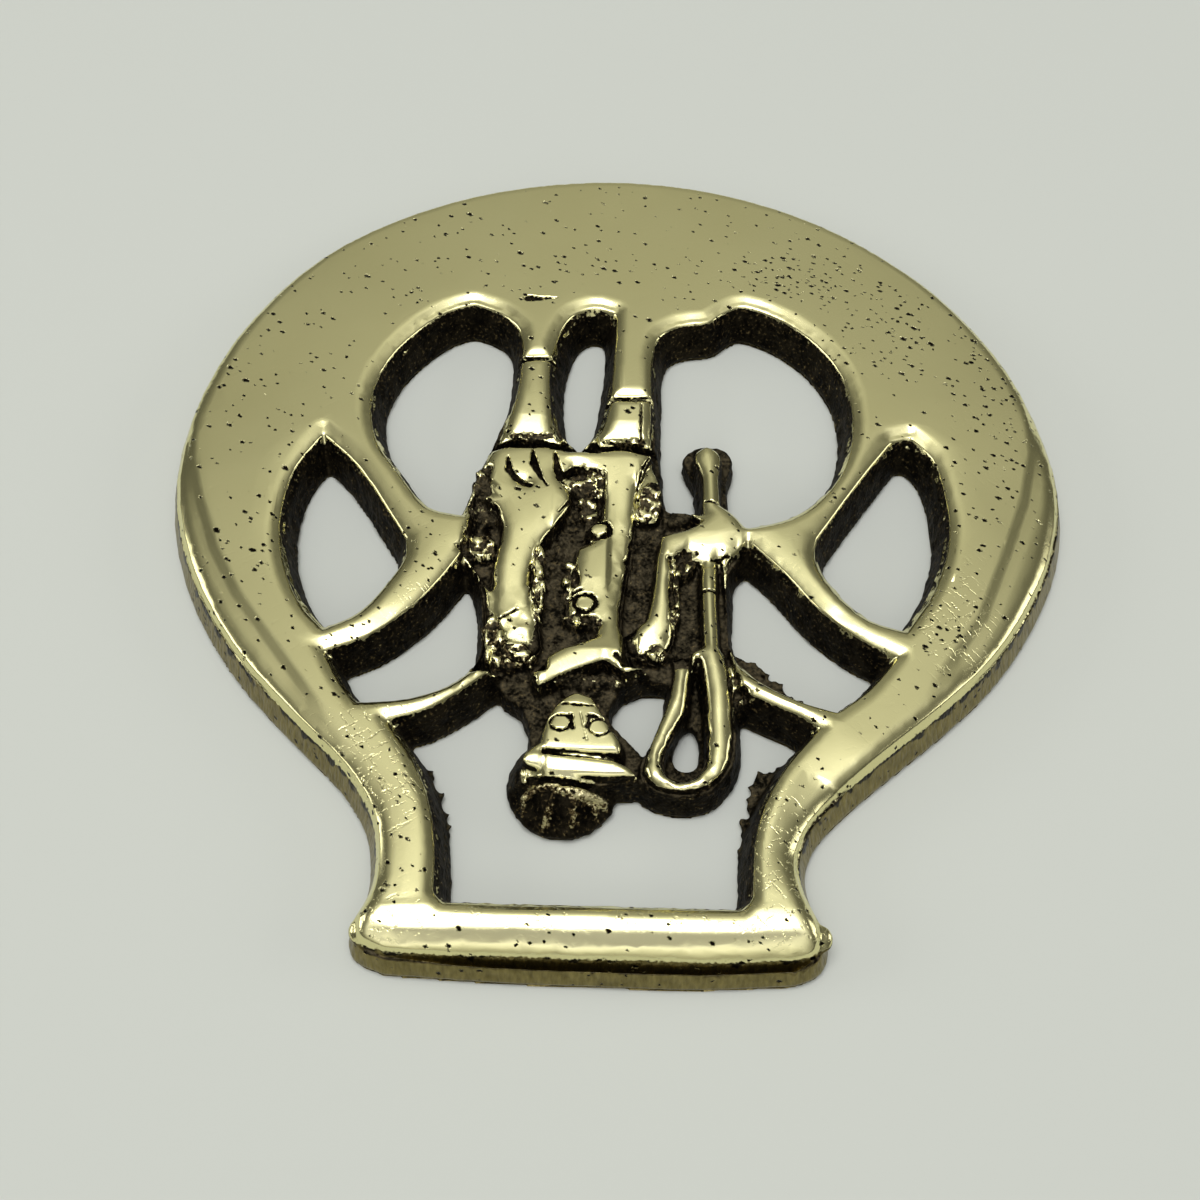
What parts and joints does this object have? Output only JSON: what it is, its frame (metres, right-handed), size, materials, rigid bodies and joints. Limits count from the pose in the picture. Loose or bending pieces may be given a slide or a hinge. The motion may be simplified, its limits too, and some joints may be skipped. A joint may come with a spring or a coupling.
{
  "type": "horse brass",
  "caption": "Cast brass harness ornament: a round pierced plate with a strap slot and hanger bar, and a small relief figure in a peaked cap holding a looped whip.",
  "frame": {"origin": "middle of the footprint, on the flat back", "axes": "+Z out of the face, +Y from the hanger bar to the far rim, +X to the right as seen from the face with the hanger nearest"},
  "size_m": [0.0848, 0.092, 0.0046],
  "materials": {
    "brass": "cast and hand polished on the face, dark unpolished walls and recesses, small casting pits"
  },
  "bodies": {
    "root": {"horse_brass": "brass"}
  },
  "joints": []
}
